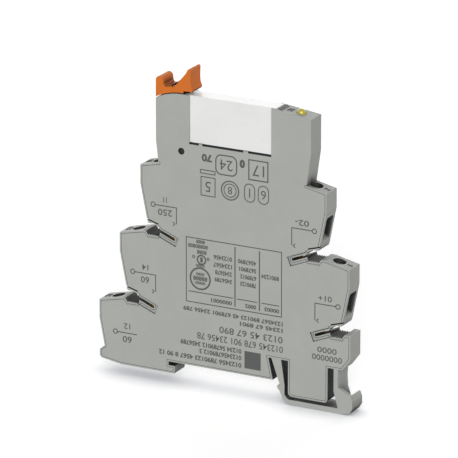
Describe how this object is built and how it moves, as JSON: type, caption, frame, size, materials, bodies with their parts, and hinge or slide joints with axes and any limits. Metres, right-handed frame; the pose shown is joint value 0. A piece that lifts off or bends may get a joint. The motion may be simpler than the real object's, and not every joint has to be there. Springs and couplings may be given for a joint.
{
  "type": "interface relay",
  "caption": "Slim rail-mounted interface relay: stepped socket housing with screw clamps, bridge slots and a spring foot, an eject lever, a status light and a plug-in relay.",
  "frame": {"origin": "middle of the seat on the mounting rail, halfway through the thickness", "axes": "+X along the long side to the spring foot, +Y through the thickness to the back plate, +Z away from the rail"},
  "size_m": [0.0799, 0.0062, 0.0931],
  "materials": {
    "grey_plastic": "fine satin, moulded",
    "orange_plastic": "satin, moulded",
    "white_plastic": "smooth, moulded",
    "dark_plastic": "matt, moulded",
    "cream_plastic": "matt, moulded",
    "red_plastic": "matt, moulded",
    "yellow_lens": "clear tinted, polished",
    "led_resin": "milky, cast",
    "board_laminate": "green solder resist",
    "zinc_steel": "zinc plated",
    "relay_iron": "nickel plated",
    "busbar_brass": "bare, stamped",
    "contact_bronze": "bare, stamped",
    "copper_wire": "enamelled winding"
  },
  "bodies": {
    "housing": {"housing_tray": "grey_plastic", "housing_cover": "grey_plastic", "latch_strut": "grey_plastic", "latch_neck": "grey_plastic", "busbar_11": "busbar_brass", "busbar_14": "busbar_brass", "busbar_12": "busbar_brass", "busbar_a2": "busbar_brass", "busbar_a1": "busbar_brass", "circuit_board": "board_laminate", "rectifier": "dark_plastic", "series_resistors": "dark_plastic", "suppressor_diode": "dark_plastic", "status_led": "led_resin", "led_lens": "yellow_lens", "coil_contacts": "busbar_brass", "lever_pin": "dark_plastic"},
    "spring_foot": {"rail_latch": "grey_plastic"},
    "lever": {"eject_lever": "orange_plastic"},
    "relay": {"relay_case": "white_plastic", "relay_base": "dark_plastic", "coil_pins": "busbar_brass", "coil_bobbin": "cream_plastic", "coil_winding": "copper_wire", "iron_core": "relay_iron", "iron_yoke": "relay_iron", "armature_spring": "contact_bronze", "contact_com": "contact_bronze", "contact_no": "contact_bronze", "contact_nc": "contact_bronze"},
    "relay_armature": {"armature": "relay_iron"},
    "relay_card": {"actuator_card": "red_plastic"},
    "relay_contact": {"moving_contact": "contact_bronze"},
    "clamp_screw_11": {"screw_11": "zinc_steel"},
    "clamp_cage_11": {"cage_11": "zinc_steel"},
    "clamp_screw_14": {"screw_14": "zinc_steel"},
    "clamp_cage_14": {"cage_14": "zinc_steel"},
    "clamp_screw_12": {"screw_12": "zinc_steel"},
    "clamp_cage_12": {"cage_12": "zinc_steel"},
    "clamp_screw_a2": {"screw_a2": "zinc_steel"},
    "clamp_cage_a2": {"cage_a2": "zinc_steel"},
    "clamp_screw_a1": {"screw_a1": "zinc_steel"},
    "clamp_cage_a1": {"cage_a1": "zinc_steel"}
  },
  "joints": [
    {"name": "relay_lift", "type": "slide", "parent": "housing", "child": "relay", "axis": [0, 0, 1], "range_m": [0, 0.00122]},
    {"name": "lever_swing", "type": "hinge", "parent": "housing", "child": "lever", "pos_m": [-0.0133, 0, 0.0625], "axis": [0, -1, 0], "range_deg": [0, 20]},
    {"name": "card_slide", "type": "slide", "parent": "relay", "child": "relay_card", "axis": [1, 0, 0], "range_m": [0, 0.00055], "stiffness_N_per_m": 42, "deforming": ["armature_spring"]},
    {"name": "armature_tilt", "type": "hinge", "parent": "relay", "child": "relay_armature", "pos_m": [0.0045, 0, 0.07005], "axis": [0, 1, 0], "range_deg": [0, 4.6]},
    {"name": "contact_swing", "type": "hinge", "parent": "relay", "child": "relay_contact", "pos_m": [-0.0022, 0, 0.06605], "axis": [0, 1, 0], "range_deg": [0, 2.95]},
    {"name": "foot_release", "type": "slide", "parent": "housing", "child": "spring_foot", "axis": [1, 0, 0], "range_m": [0, 0.001], "stiffness_N_per_m": 1500, "deforming": ["latch_strut", "latch_neck"]},
    {"name": "cage_rise_11", "type": "slide", "parent": "housing", "child": "clamp_cage_11", "axis": [-0.2141, 0, 0.9768], "range_m": [0, 0.0025]},
    {"name": "screw_turn_11", "type": "hinge", "parent": "housing", "child": "clamp_screw_11", "pos_m": [-0.0217, 0, 0.05781], "axis": [0.2141, 0, -0.9768], "range_deg": [0, 1800]},
    {"name": "cage_rise_14", "type": "slide", "parent": "housing", "child": "clamp_cage_14", "axis": [-0.2141, 0, 0.9768], "range_m": [0, 0.0025]},
    {"name": "screw_turn_14", "type": "hinge", "parent": "housing", "child": "clamp_screw_14", "pos_m": [-0.0284, 0, 0.03691], "axis": [0.2141, 0, -0.9768], "range_deg": [0, 1800]},
    {"name": "cage_rise_12", "type": "slide", "parent": "housing", "child": "clamp_cage_12", "axis": [-0.2141, 0, 0.9768], "range_m": [0, 0.0025]},
    {"name": "screw_turn_12", "type": "hinge", "parent": "housing", "child": "clamp_screw_12", "pos_m": [-0.0351, 0, 0.01601], "axis": [0.2141, 0, -0.9768], "range_deg": [0, 1800]},
    {"name": "cage_rise_a2", "type": "slide", "parent": "housing", "child": "clamp_cage_a2", "axis": [0.2141, 0, 0.9768], "range_m": [0, 0.0025]},
    {"name": "screw_turn_a2", "type": "hinge", "parent": "housing", "child": "clamp_screw_a2", "pos_m": [0.0273, 0, 0.05781], "axis": [-0.2141, 0, -0.9768], "range_deg": [0, 1800]},
    {"name": "cage_rise_a1", "type": "slide", "parent": "housing", "child": "clamp_cage_a1", "axis": [0.2141, 0, 0.9768], "range_m": [0, 0.0025]},
    {"name": "screw_turn_a1", "type": "hinge", "parent": "housing", "child": "clamp_screw_a1", "pos_m": [0.0345, 0, 0.03691], "axis": [-0.2141, 0, -0.9768], "range_deg": [0, 1800]}
  ],
  "couplings": [
    {"joint": "lever_swing", "follows": "relay_lift", "rad_per_m": 285.7},
    {"joint": "armature_tilt", "follows": "card_slide", "rad_per_m": 145.98},
    {"joint": "contact_swing", "follows": "card_slide", "rad_per_m": 92.12},
    {"joint": "screw_turn_11", "follows": "cage_rise_11", "rad_per_m": 12566},
    {"joint": "screw_turn_14", "follows": "cage_rise_14", "rad_per_m": 12566},
    {"joint": "screw_turn_12", "follows": "cage_rise_12", "rad_per_m": 12566},
    {"joint": "screw_turn_a2", "follows": "cage_rise_a2", "rad_per_m": 12566},
    {"joint": "screw_turn_a1", "follows": "cage_rise_a1", "rad_per_m": 12566}
  ]
}
